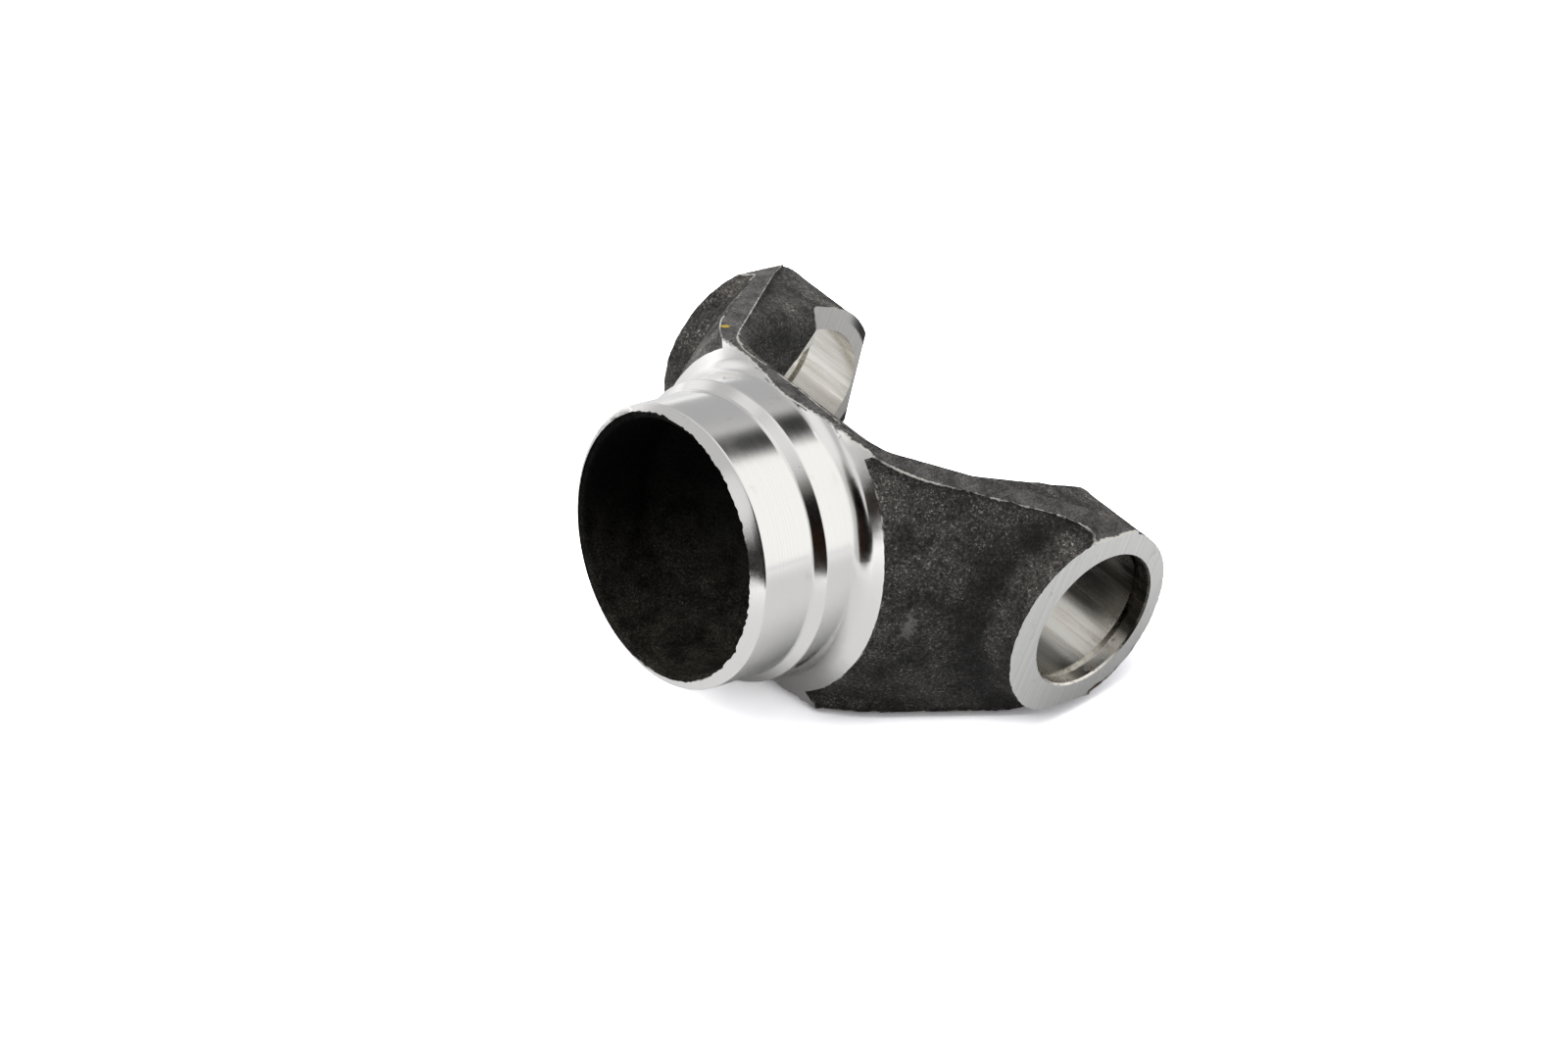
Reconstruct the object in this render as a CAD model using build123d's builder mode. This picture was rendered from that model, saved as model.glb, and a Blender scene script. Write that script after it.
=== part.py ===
from build123d import *
from math import atan2, cos, degrees, radians, sin, tan
import os

os.makedirs("parts", exist_ok=True)

# Weld yoke of a drive shaft, one forging. The modelling frame has X along the bearing axis,
# Z along the tube axis and the joint centre at its origin; heights run along the tube axis.

# Bearing bores, each with a groove for a snap ring
bore_radius = 15.1
bore_chamfer = 0.4
groove_depth = 1.0
groove_width = 1.5
groove_land = 2.9

# Arms and ears seen along Y; the reach of the arm inside is taken at its own height
arm_inside_reach = 32.2
arm_inside_height = 7.5
arm_inside_slope = 11.0
relief_depth = 4.6
relief_height = 3.9
relief_root_radius = 3.4
ear_width = 18.7
boss_wall = 5.8
boss_offset = 1.8
boss_fillet = 5.0
tip_wall = 0.9
tip_slope = 12.5

# Throat between the arms
web_thickness = 9.0
throat_corner = 15.0
inside_edge_radius = 4.0

# Turned tube end, from the flare up to the mouth
flare_height = 41.2
flare_width = 4.7
flare_slope = 20.0
flare_fillet = 4.0
shoulder_step = 1.9
shoulder_rise = 10.7
shoulder_bevel = 2.0
pilot_radius = 29.0
pilot_length = 12.2
lead_in_depth = 2.8
lead_in_length = 1.8

# Forged pocket in the tube end
pocket_depth = 22.9
pocket_draft = 5.0
pocket_bevel = 6.0

# Forged bell behind the flare, through a middle point and an edge inside the ear face
bell_middle_share = 0.42
bell_middle_drop = 10.0
bell_edge_inset = 3.7
bell_edge_drop = 26.6
neck_stock = 1.6

# Die draft of the ear sides
die_draft = 13.0

# Outline of the trimmed flash seen along the tube axis; the lower half stands further out
flash_margin = 0.1
flash_shoulder_reach = 22.0
flash_shoulder_inset = 1.3
flash_lower_reach = 24.5
flash_corner_inset = 7.2
flash_corner_rise = 2.9
flash_lower_corner_rise = 3.5
flash_end_inset = 0.9

# Flash band seen along Y: its edge towards the tube, and its widths at the throat and on the arms
band_top_rise = 2.8
band_slope = 54.3
band_lead = 1.8
band_drop = 10.0
band_bend = 30.0
band_throat_width = 4.3
band_arm_width = 8.9
band_foot_slope = 52.5
band_foot_bend = 12.0

# Faces and radii that follow from the sizes above
clearance = 5.0
ear_inner_face = arm_inside_reach + relief_depth
ear_outer_face = ear_inner_face + ear_width
groove_outer_face = ear_outer_face - groove_land
groove_inner_face = groove_outer_face - groove_width
boss_radius = bore_radius + boss_wall
groove_radius = bore_radius + groove_depth
tip_height = bore_radius + tip_wall
shoulder_radius = pilot_radius + shoulder_step
flare_radius = shoulder_radius + flare_width
mouth_radius = pilot_radius - lead_in_depth
neck_stock_radius = shoulder_radius + neck_stock
outside = ear_outer_face + boss_radius

# Heights along the tube axis
low_end = boss_offset - boss_radius - clearance
shoulder_height = flare_height + shoulder_rise
pilot_foot = shoulder_height + shoulder_bevel
mouth_height = pilot_foot + pilot_length + lead_in_length
pocket_floor = mouth_height - pocket_depth
saddle_height = pocket_floor - web_thickness

# Sloping face of the flare, carried in to the shoulder and out past the ears
flare_corner = flare_height + flare_width * tan(radians(flare_slope))
flare_end = flare_height - (outside - flare_radius) * tan(radians(flare_slope))
flare_top = flare_corner + flare_fillet * (1 - sin(radians(flare_slope))) / cos(radians(flare_slope))

# Radii of the pocket wall at the floor and above its bevel, and of the bell
pocket_floor_radius = mouth_radius - pocket_depth * tan(radians(pocket_draft))
pocket_wall_radius = pocket_floor_radius + pocket_bevel * tan(radians(pocket_draft))
bell_edge_radius = ear_outer_face - bell_edge_inset
bell_middle_radius = flare_radius + (bell_edge_radius - flare_radius) * bell_middle_share

# Arm inside line, carried down past the ear tip and up to the saddle
inside_low = arm_inside_reach + (arm_inside_height - low_end) * tan(radians(arm_inside_slope))
inside_high = arm_inside_reach - (saddle_height - arm_inside_height) * tan(radians(arm_inside_slope))

# Drafted ear sides, tangent to the round ear end
wall_foot = boss_radius * cos(radians(die_draft))
wall_foot_height = boss_offset - boss_radius * sin(radians(die_draft))
wall_low = wall_foot + (low_end - wall_foot_height) * tan(radians(die_draft))
wall_top = wall_foot + (mouth_height - wall_foot_height) * tan(radians(die_draft))

# Half widths of the flash outline
flash_throat_half = shoulder_radius + flash_margin
flash_shoulder_half = flash_throat_half - flash_shoulder_inset
flash_corner_reach = ear_outer_face - flash_corner_inset
flash_corner_half = boss_radius + flash_corner_rise
flash_lower_corner_half = boss_radius + flash_lower_corner_rise
flash_end_half = boss_radius - flash_end_inset

# Corner points of the two edges of the flash band
band_reach = arm_inside_reach + band_lead
band_top = flare_height + band_top_rise
band_height = flare_height - band_drop
band_knee = band_reach - (band_top - band_height) / tan(radians(band_slope))
band_end = band_height - (ear_outer_face - band_reach) * tan(radians(band_slope))
band_foot_top = band_top - band_throat_width
band_foot_height = band_height - band_arm_width
band_foot_knee = band_reach - (band_foot_top - band_foot_height) / tan(radians(band_foot_slope))
band_foot_end = band_foot_height - (ear_outer_face - band_reach) * tan(radians(band_foot_slope))

# Turn that lays the straight lower flash edge of each arm on the ground
edge_rise = (flash_corner_reach - flash_lower_reach) * tan(radians(band_foot_slope))
lying_turn = degrees(atan2(edge_rise, flash_throat_half - flash_lower_corner_half))

# Outline of the trimmed flash, seen along the tube axis
with BuildSketch() as flash_outline:
    with BuildLine():
        crown = ThreePointArc(
            (-flash_shoulder_reach, flash_shoulder_half),
            (0, flash_throat_half),
            (flash_shoulder_reach, flash_shoulder_half),
        )
        Polyline(
            crown @ 1,
            (flash_corner_reach, flash_corner_half),
            (ear_outer_face, flash_end_half),
            (ear_outer_face, -flash_end_half),
            (flash_corner_reach, -flash_lower_corner_half),
            (flash_lower_reach, -flash_throat_half),
            (-flash_lower_reach, -flash_throat_half),
            (-flash_corner_reach, -flash_lower_corner_half),
            (-ear_outer_face, -flash_end_half),
            (-ear_outer_face, flash_end_half),
            (-flash_corner_reach, flash_corner_half),
            crown @ 0,
        )
    make_face()

# Band left standing where the flash was trimmed off
with BuildPart() as flash_band:
    with BuildSketch(Plane.XZ):
        with BuildLine():
            upper_edge = FilletPolyline(
                (0, band_top),
                (band_knee, band_top),
                (ear_outer_face, band_end),
                radius=band_bend,
            )
            lower_edge = FilletPolyline(
                (0, band_foot_top),
                (band_foot_knee, band_foot_top),
                (ear_outer_face, band_foot_end),
                radius=band_foot_bend,
            )
            Line(upper_edge @ 0, lower_edge @ 0)
            Line(upper_edge @ 1, lower_edge @ 1)
        make_face()
        mirror(about=Plane.YZ)
    extrude(amount=outside, both=True)
    with BuildSketch(Plane.XY.offset(low_end)):
        add(flash_outline.sketch)
    extrude(amount=mouth_height - low_end, mode=Mode.INTERSECT)

# Arch of drafted sides with a throat between its arms, rounded at the edges before the ear ends are cut round
with BuildPart() as arch:
    with BuildSketch(Plane.YZ):
        with BuildLine():
            Polyline(
                (-wall_low, low_end),
                (wall_low, low_end),
                (wall_top, mouth_height),
                (-wall_top, mouth_height),
                close=True,
            )
        make_face()
    extrude(amount=ear_outer_face, both=True)
    with BuildSketch(Plane.XZ):
        with BuildLine():
            FilletPolyline(
                (-inside_low, low_end),
                (-inside_high, saddle_height),
                (inside_high, saddle_height),
                (inside_low, low_end),
                radius=throat_corner,
            )
            Line((inside_low, low_end), (-inside_low, low_end))
        make_face()
    extrude(amount=outside, both=True, mode=Mode.SUBTRACT)
    fillet(edges(Select.LAST).filter_by(Axis.Y, reverse=True), radius=inside_edge_radius)
    with BuildSketch(Plane.YZ):
        with BuildLine():
            ear_end = ThreePointArc(
                (-wall_foot, wall_foot_height),
                (0, boss_offset - boss_radius),
                (wall_foot, wall_foot_height),
            )
            Polyline(ear_end @ 1, (wall_top, mouth_height), (-wall_top, mouth_height), ear_end @ 0)
        make_face()
    extrude(amount=ear_outer_face, both=True, mode=Mode.INTERSECT)

with BuildPart() as weld_yoke:
    # Bell and neck, turned round the tube axis
    with BuildSketch(Plane.YZ):
        with BuildLine():
            bell = ThreePointArc(
                (flare_radius, flare_height),
                (bell_middle_radius, flare_height - bell_middle_drop),
                (bell_edge_radius, flare_height - bell_edge_drop),
            )
            bell_skirt = PolarLine(bell @ 1, outside, direction=bell % 1)
            Polyline(
                bell @ 0,
                (neck_stock_radius, flare_top),
                (neck_stock_radius, mouth_height),
                (0, mouth_height),
                (0, (bell_skirt @ 1).Y),
                bell_skirt @ 1,
            )
        make_face()
    revolve(axis=Axis.Z)

    # Round bosses of the ears, run out past the bell, with a fillet round the crease between them
    with BuildSketch(Plane.YZ):
        with Locations((0, boss_offset)):
            Circle(boss_radius)
    extrude(amount=outside, both=True)
    bell_types = (GeomType.CONE, GeomType.TORUS, GeomType.REVOLUTION)
    bell_edges = faces().filter_by(lambda face: face.geom_type in bell_types).edges()
    boss_faces = faces().filter_by(GeomType.CYLINDER).filter_by(lambda face: face.center().Z < saddle_height)
    creases = boss_faces.edges().filter_by(lambda edge: edge in bell_edges)
    fillet(creases, radius=boss_fillet)

    add(arch.part, mode=Mode.INTERSECT)

    # Everything outside the trimmed outline goes, up to the top of the flare
    with BuildSketch(Plane.XY.offset(low_end)):
        Rectangle(outside * 2, outside * 2)
        add(flash_outline.sketch, mode=Mode.SUBTRACT)
    extrude(amount=flare_top - low_end, mode=Mode.SUBTRACT)
    add(flash_band.part)

    # Turned flare, weld shoulder, pilot and lead-in
    with BuildSketch(Plane.XZ):
        with BuildLine():
            Polyline(
                (outside, flare_end),
                (shoulder_radius, flare_corner),
                (shoulder_radius, shoulder_height),
                (pilot_radius, pilot_foot),
                (pilot_radius, mouth_height - lead_in_length),
                (mouth_radius, mouth_height),
                (mouth_radius, mouth_height + clearance),
                (outside, mouth_height + clearance),
                close=True,
            )
        make_face()
        flare_root = vertices().group_by(Axis.X)[2].sort_by(Axis.Y)[0]
        fillet(flare_root, radius=flare_fillet)
    revolve(axis=Axis.Z, mode=Mode.SUBTRACT)

    # Forged pocket with a bevelled floor
    with BuildSketch(Plane.XZ):
        with BuildLine():
            Polyline(
                (0, pocket_floor),
                (pocket_floor_radius - pocket_bevel, pocket_floor),
                (pocket_wall_radius, pocket_floor + pocket_bevel),
                (mouth_radius, mouth_height),
                (0, mouth_height),
                close=True,
            )
        make_face()
    revolve(axis=Axis.Z, mode=Mode.SUBTRACT)
    # Milled relief inside the ears
    with BuildSketch(Plane.XZ):
        with BuildLine():
            FilletPolyline(
                (-ear_inner_face, low_end),
                (-ear_inner_face, relief_height),
                (ear_inner_face, relief_height),
                (ear_inner_face, low_end),
                radius=relief_root_radius,
            )
            Line((ear_inner_face, low_end), (-ear_inner_face, low_end))
        make_face()
    extrude(amount=outside, both=True, mode=Mode.SUBTRACT)

    # Sloping ear tips
    with BuildSketch(Plane.XZ):
        with BuildLine():
            Polyline(
                (ear_inner_face, -tip_height),
                (ear_outer_face, -tip_height - (ear_outer_face - ear_inner_face) * tan(radians(tip_slope))),
                (ear_outer_face, low_end - clearance),
                (ear_inner_face, low_end - clearance),
                close=True,
            )
        make_face()
        mirror(about=Plane.YZ)
    extrude(amount=outside, both=True, mode=Mode.SUBTRACT)

    # Bearing bores, each with a snap ring groove and a lead-in chamfer
    with BuildSketch(Plane.XZ):
        with BuildLine():
            Polyline(
                (0, 0),
                (0, bore_radius),
                (groove_inner_face, bore_radius),
                (groove_inner_face, groove_radius),
                (groove_outer_face, groove_radius),
                (groove_outer_face, bore_radius),
                (ear_outer_face - bore_chamfer, bore_radius),
                (ear_outer_face, bore_radius + bore_chamfer),
                (ear_outer_face, 0),
                close=True,
            )
        make_face()
        mirror(about=Plane.YZ)
    revolve(axis=Axis.X, mode=Mode.SUBTRACT)

# The yoke lies on the lower flash edges of both arms, so its tube end is tilted up
with BuildPart() as leaning_yoke:
    add(weld_yoke.part, rotation=(lying_turn, 0, 0))

# The origin goes below the middle of the lying yoke, on the ground
lying_box = leaning_yoke.part.bounding_box()
with BuildPart() as lying_yoke:
    with Locations((0, -lying_box.center().Y, -lying_box.min.Z)):
        add(leaning_yoke.part)

lying_yoke.part.label = "weld_yoke"
export_step(lying_yoke.part, "parts/weld_yoke.step")
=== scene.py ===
import math

import bmesh
import bpy
import numpy as np
from mathutils import Matrix, Vector
from mathutils.kdtree import KDTree
from mathutils.noise import turbulence


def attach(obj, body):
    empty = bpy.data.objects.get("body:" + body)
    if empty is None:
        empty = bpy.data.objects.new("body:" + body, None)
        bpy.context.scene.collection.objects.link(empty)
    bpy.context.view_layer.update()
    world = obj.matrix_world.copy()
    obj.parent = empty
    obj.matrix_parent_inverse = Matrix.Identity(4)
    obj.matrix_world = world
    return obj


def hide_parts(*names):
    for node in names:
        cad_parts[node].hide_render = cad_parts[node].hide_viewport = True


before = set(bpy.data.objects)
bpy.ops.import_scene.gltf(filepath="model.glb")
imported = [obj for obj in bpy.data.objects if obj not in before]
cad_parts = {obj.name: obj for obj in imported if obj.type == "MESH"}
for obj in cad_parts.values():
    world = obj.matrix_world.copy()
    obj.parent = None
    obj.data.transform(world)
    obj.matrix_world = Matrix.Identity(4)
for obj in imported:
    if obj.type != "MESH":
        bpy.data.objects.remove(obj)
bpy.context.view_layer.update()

MM = 0.001

# The yoke's own axes seen from its joint centre: X along the bearings, Y across, Z along the tube
JOINT_CENTRE = Vector((0.0, 0.0263633, 0.0231031))
LYING_TURN = math.radians(77.987305)
YOKE_AXES = Matrix.Rotation(LYING_TURN, 3, "X")
TUBE_AXIS = YOKE_AXES @ Vector((0.0, 0.0, 1.0))

# Sizes of the machined surfaces in millimetres, used to tell one finish from another
EAR_FACE = 55.5
RELIEF_FACE = 36.8
RELIEF_HEIGHT = 3.9
GROOVE_RADIUS = 16.1
SHOULDER_RADIUS = 30.9
MOUTH_RADIUS = 26.2
LEAD_IN_DEPTH = 2.8
LEAD_IN_LENGTH = 1.8
POCKET_FLOOR = 45.0
FLARE_CORNER = 42.91
FLARE_FALL = math.tan(math.radians(20.0))
FLARE_FILLET = 4.0
FLARE_TOP = 45.71
FLARE_EDGE = 33.55
FLASH_REACHES = (0.0, 11.0, 22.0, 48.3, 55.5)
FLASH_UPPER_HALVES = (31.0, 30.68, 29.7, 23.8, 20.0)
FLASH_LOWER_REACHES = (0.0, 24.5, 48.3, 55.5)
FLASH_LOWER_HALVES = (31.0, 31.0, 24.4, 20.0)

# What tells a facet of one finish from its neighbours, in millimetres or as a share of its facing
ON_AXIS = 0.001
ON_PLANE = 0.03
SQUARE = 0.999
BORE_REACH = 30.0
GROOVE_MARGIN = 0.2
RELIEF_MARGIN = 0.02
RELIEF_HEIGHT_MARGIN = 0.01
FLOOR_MARGIN = 0.05
MOUTH_MARGIN = 0.4
FACING_OUT = 0.3
SHOULDER_MARGIN = 0.1
TURNED_MARGIN = 0.04
FLASH_MARGIN = 0.15
SHEARED = 0.03

# Wear of the copied skin in millimetres, shares and counts
SAME_CORNER = 0.001
ROOT_FILLET = 0.5
CORNER_ROUND = 0.25
ROUND_STEPS = 5
CUT_EDGE_LENGTH = 0.6
SKIN_EDGE_LENGTH = 1.7
FINE_CHIPS = 1.1
BROAD_CHIPS = 5.0
BROAD_SHARE = 0.6
CHIP_OCTAVES = 2
LEAST_CHIP = 0.35
RIM_CHIP = 0.3
RIM_SHIFT = 0.95
THIN_RIM_SIDE = (-0.95, -0.3)
BAND_CHIP = 0.6
FLARE_CHIP = 0.1
EAR_CHIP = 0.22
WORN_REACH = 14.0
STILL_STRIP = 0.4
SINKING_STRIP = 1.2
FAR_FROM_EDGE = 8.0

# Bends between facets that are left sharp, joined or rounded, and the widest corner when joined
SHARP_BEND = math.radians(20.0)
JOINED_BEND = math.radians(12.0)
ROUNDED_BEND = math.radians(30.0)
WIDEST_CORNER = math.radians(170.0)

# Inputs of the relief sunk into the skin: metres, but for the chip width, in millimetres
RELIEF_SIZES = {
    "Lump size": 5.0 * MM,
    "Lump depth": 0.22 * MM,
    "Grain size": 1.6 * MM,
    "Grain depth": 0.12 * MM,
    "Chip size": 3.0 * MM,
    "Chip depth": 0.35 * MM,
    "Chip width": 1.5,
}

# Linear colours of the finishes, the floor and the surroundings
SCALE_BLACK = (0.006, 0.0056, 0.0052, 1.0)
SCALE_GREY = (0.068, 0.064, 0.059, 1.0)
CLOUD_DIM = (0.62, 0.62, 0.62, 1.0)
CLOUD_BRIGHT = (1.2, 1.18, 1.15, 1.0)
SCALE_FLECK = (0.56, 0.525, 0.475, 1.0)
RUBBED_GREY = (0.26, 0.25, 0.235, 1.0)
# Painted shade on the forged skin, also the colour of a real pit
SHADE_AND_PIT_BLACK = (0.005, 0.0045, 0.004, 1.0)
STRUCK_STEEL = (0.7, 0.68, 0.63, 1.0)
SHEARED_BLACK = (0.007, 0.0068, 0.0066, 1.0)
SHEARED_GREY = (0.12, 0.114, 0.109, 1.0)
SHEARED_FLECK = (0.3, 0.285, 0.265, 1.0)
YELLOW_PAINT = (0.55, 0.38, 0.03, 1.0)
TORN_STEEL = (0.8, 0.78, 0.74, 1.0)
TURNED_DULL = (0.80, 0.79, 0.77, 1.0)
TURNED_BRIGHT = (0.90, 0.895, 0.88, 1.0)
OIL_SMEAR = (0.66, 0.62, 0.56, 1.0)
BRUISE = (0.2, 0.19, 0.18, 1.0)
MILLED_DULL = (0.72, 0.72, 0.70, 1.0)
MILLED_BRIGHT = (0.92, 0.92, 0.90, 1.0)
RELIEF_GREY = (0.36, 0.345, 0.32, 1.0)
MILLED_WORN = (0.46, 0.44, 0.41, 1.0)
EAR_SKIN = (0.05, 0.047, 0.043, 1.0)
BORED_DULL = (0.66, 0.63, 0.57, 1.0)
BORED_BRIGHT = (0.86, 0.84, 0.79, 1.0)
# Painted dark reflection on the near bore, with some real discoloration
REFLECTION_AND_STAIN_BROWN = (0.07, 0.065, 0.055, 1.0)
POCKET_BLACK = (0.0015, 0.0015, 0.0015, 1.0)
POCKET_GREY = (0.015, 0.0145, 0.012, 1.0)
POCKET_FLECK = (0.1, 0.092, 0.07, 1.0)
POCKET_SHADE = (0.0012, 0.0012, 0.0012, 1.0)
BURR_STEEL = (0.6, 0.58, 0.55, 1.0)
RUST_DARK = (0.045, 0.021, 0.009, 1.0)
RUST_PALE = (0.14, 0.072, 0.03, 1.0)
FLOOR_TO_SKIN = (0.36, 0.36, 0.365, 1.0)
FLOOR_MIRRORED = (0.6, 0.6, 0.605, 1.0)
FLOOR_SEEN = (3.1, 3.1, 3.15, 1.0)
AMBIENT_LOW = (0.2, 0.2, 0.205, 1.0)
AMBIENT_HIGH = (0.5, 0.5, 0.51, 1.0)
SURROUNDINGS = (0.56, 0.56, 0.56, 1.0)
WHITE = (1.0, 1.0, 1.0, 1.0)

# Marks on the skin: their centres and reaches in millimetres along the yoke's own axes
RUBBED_MARK = {"Centre": (39.4, -2.1, 35.6), "Reaches": (2.6, 4.6, 2.2)}
PIT = {"Centre": (37.3, 16.5, 33.6), "Reaches": (2.2, 1.6, 1.6)}
PAINT_DAB = {"Centre": (-28.6, 28.2, 35.0), "Reaches": (1.3, 1.3, 1.3)}

# Bare metal along the edges of the trimmed flash
TRIM_LINE = {"width": 0.75, "cover": 0.53}

# Where a finish or a painted shade changes, in millimetres from the start of the change to its end
# Painted shade in the crease at the foot of the near ear's boss: its band, its fade and its reach
# along the bearings
BOSS_FOOT = (21.6, 23.6)
BOSS_FOOT_FADE = (31.0, 24.6)
BOSS_REACH = (38.0, 43.0)
# How far below the trimmed flash the painted shade reaches
TRIM_SHADE_SPAN = (0.3, 2.0)
INNER_EAR_SIDE = (40.0, 38.0)
RUSTY_RIM = (18.2, 19.8)
RUSTY_SIDE = (14.5, 17.5)
EAR_SKIN_HEIGHT = (-9.0, -14.0)
EAR_SKIN_RIM = (17.6, 18.2)
NEAR_EAR = (-10.0, 10.0)
OUTER_LAND = (51.0, 51.2)
BEARING_SEAT = (51.2, 51.0)
# Painted dark reflections on the near bore: towards the ear's tip, partly real discoloration, and
# at the foot of the bearing seat
REFLECTION_AND_STAIN_TIP = (6.8, 11.0)
DARK_REFLECTION_FOOT = (-4.0, -9.5)
GROOVE_RUST = (46.0, 51.0)
# Painted light on the lower pocket wall, fading into painted shade on the upper wall
LIT_LOWER_POCKET_WALL = (8.0, -20.0)

# Patches that polished steel mirrors: azimuth, elevation, angles of the core and the rim, colour
MIRRORED_PATCHES = (
    (0.0, 90.0, 14.0, 38.0, (0.9, 0.9, 0.9, 1.0)),
    (148.0, 22.0, 30.0, 52.0, (1.05, 1.05, 1.04, 1.0)),
    (-86.0, 0.0, 8.0, 25.0, (0.95, 0.95, 0.95, 1.0)),
    (2.0, 26.0, 9.0, 18.0, (0.8, 0.8, 0.8, 1.0)),
    (-28.0, 16.0, 9.0, 15.0, (1.0, 1.0, 0.99, 1.0)),
    (-66.0, 46.0, 7.0, 14.0, (0.82, 0.82, 0.82, 1.0)),
    (-138.0, 14.0, 8.0, 26.0, (0.46, 0.46, 0.47, 1.0)),
    (-166.0, 38.0, 4.0, 15.0, (0.04, 0.04, 0.04, 1.0)),
    (52.0, 40.0, 8.0, 24.0, (0.1, 0.09, 0.08, 1.0)),
    (44.0, 18.0, 24.0, 32.0, (0.003, 0.002, 0.002, 1.0)),
    (62.0, 12.0, 14.0, 25.0, (0.014, 0.007, 0.004, 1.0)),
    (18.0, 2.0, 9.0, 14.0, (0.01, 0.008, 0.006, 1.0)),
    (-2.0, 1.0, 8.0, 13.0, (0.012, 0.007, 0.004, 1.0)),
)

# Soft lamps: name, azimuth and elevation in degrees, distance and sides in metres, power in watts
SOFTBOXES = (
    ("key_softbox", -40.0, 52.0, 1.2, (0.9, 0.8), 13.0),
    ("overhead_softbox", 30.0, 84.0, 1.1, (0.6, 0.6), 2.5),
)
LAMP_TARGET = Vector((0.0, 0.0, 0.02))

# The floor's half side, and where its painted glow, seen only in reflections, starts and ends, in
# metres
FLOOR_HALF = 3.0
FLOOR_GLOW_SPAN = (0.08, 0.7)

# The camera fitted to the photograph, in metres, with its sensor and lens in millimetres
CAMERA_SPOT = Vector((0.41717, -0.37448, 0.49203))
CAMERA_RIGHT = Vector((0.63179, 0.77397, 0.04249))
CAMERA_FORWARD = Vector((-0.57683, 0.50605, -0.64123))
SENSOR_WIDTH = 36.0
FOCAL_LENGTH = 81.96
NEAREST_SEEN = 0.01

FINISHES = (
    "forged_scale", "trimmed_flash", "turned_steel", "milled_ear", "bored_wall", "pocket_scale"
)
FORGED, TRIMMED, TURNED, MILLED, BORED, POCKET = range(len(FINISHES))
ROUGH_FINISHES = (FORGED, TRIMMED, POCKET)


def in_yoke_axes(point):
    """A point of the row frame in millimetres along the yoke's own axes."""
    return YOKE_AXES.transposed() @ (point - JOINT_CENTRE) / MM


def is_turned(from_tube_axis, tube):
    """Whether a point outside the pocket lies on the turned flare, shoulder, pilot or lead-in."""
    if tube > FLARE_TOP - SHOULDER_MARGIN:
        return True
    if from_tube_axis < FLARE_EDGE:
        from_fillet_axis = math.hypot(
            SHOULDER_RADIUS + FLARE_FILLET - from_tube_axis, FLARE_TOP - tube
        )
        return abs(from_fillet_axis - FLARE_FILLET) < TURNED_MARGIN
    flare = FLARE_CORNER - (from_tube_axis - SHOULDER_RADIUS) * FLARE_FALL
    return tube > flare - TURNED_MARGIN


def finish_of(face):
    """The finish of one facet of the yoke, told by where it lies and where it faces."""
    bearing, across, tube = in_yoke_axes(face.calc_center_median())
    facing = YOKE_AXES.transposed() @ face.normal
    reach = abs(bearing)
    from_tube_axis = math.hypot(bearing, across)
    from_bearing_axis = math.hypot(across, tube)
    outward = (facing.x * bearing + facing.y * across) / max(from_tube_axis, ON_AXIS)
    from_plane = min(abs(reach - EAR_FACE), abs(reach - RELIEF_FACE))
    if abs(facing.x) > SQUARE and from_plane < ON_PLANE:
        return MILLED
    if reach > BORE_REACH and from_bearing_axis < GROOVE_RADIUS + GROOVE_MARGIN:
        return BORED
    if reach < RELIEF_FACE + RELIEF_MARGIN and tube < RELIEF_HEIGHT + RELIEF_HEIGHT_MARGIN:
        return MILLED
    faces_the_hollow = from_tube_axis < MOUTH_RADIUS and outward < FACING_OUT
    if faces_the_hollow and tube > POCKET_FLOOR - FLOOR_MARGIN:
        return POCKET
    if from_tube_axis > MOUTH_RADIUS - MOUTH_MARGIN and is_turned(from_tube_axis, tube):
        return TURNED
    if across > 0.0:
        flash_edge = np.interp(reach, FLASH_REACHES, FLASH_UPPER_HALVES)
    else:
        flash_edge = np.interp(reach, FLASH_LOWER_REACHES, FLASH_LOWER_HALVES)
    if abs(facing.z) < SHEARED and abs(abs(across) - flash_edge) < FLASH_MARGIN:
        return TRIMMED
    return FORGED


def round_turned_edges(skin, finish, root_width, corner_width):
    """A small fillet at the root of the pilot and small rounds on the corners of the tube end."""
    turned = [face for face in skin.faces if face[finish] == TURNED]
    bmesh.ops.join_triangles(
        skin,
        faces=turned,
        angle_face_threshold=JOINED_BEND,
        angle_shape_threshold=WIDEST_CORNER,
    )
    for is_corner, width in ((False, root_width), (True, corner_width)):
        rings = [
            edge
            for edge in skin.edges
            if edge.is_convex == is_corner
            and all(face[finish] == TURNED for face in edge.link_faces)
            and edge.calc_face_angle(0.0) > ROUNDED_BEND
        ]
        rounds = bmesh.ops.bevel(
            skin,
            geom=rings,
            offset=width,
            segments=ROUND_STEPS,
            profile=0.5,
            affect="EDGES",
            clamp_overlap=True,
        )
        for face in rounds["faces"]:
            face[finish] = TURNED
    bmesh.ops.triangulate(skin, faces=[face for face in skin.faces if len(face.verts) > 3])


def is_cut(sides):
    """Whether the finishes beside an edge or a corner are both forged and machined ones."""
    return len({side in ROUGH_FINISHES for side in sides}) == 2


def is_rough(sides):
    """Whether any of the finishes beside an edge is a forged one."""
    return any(side in ROUGH_FINISHES for side in sides)


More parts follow.
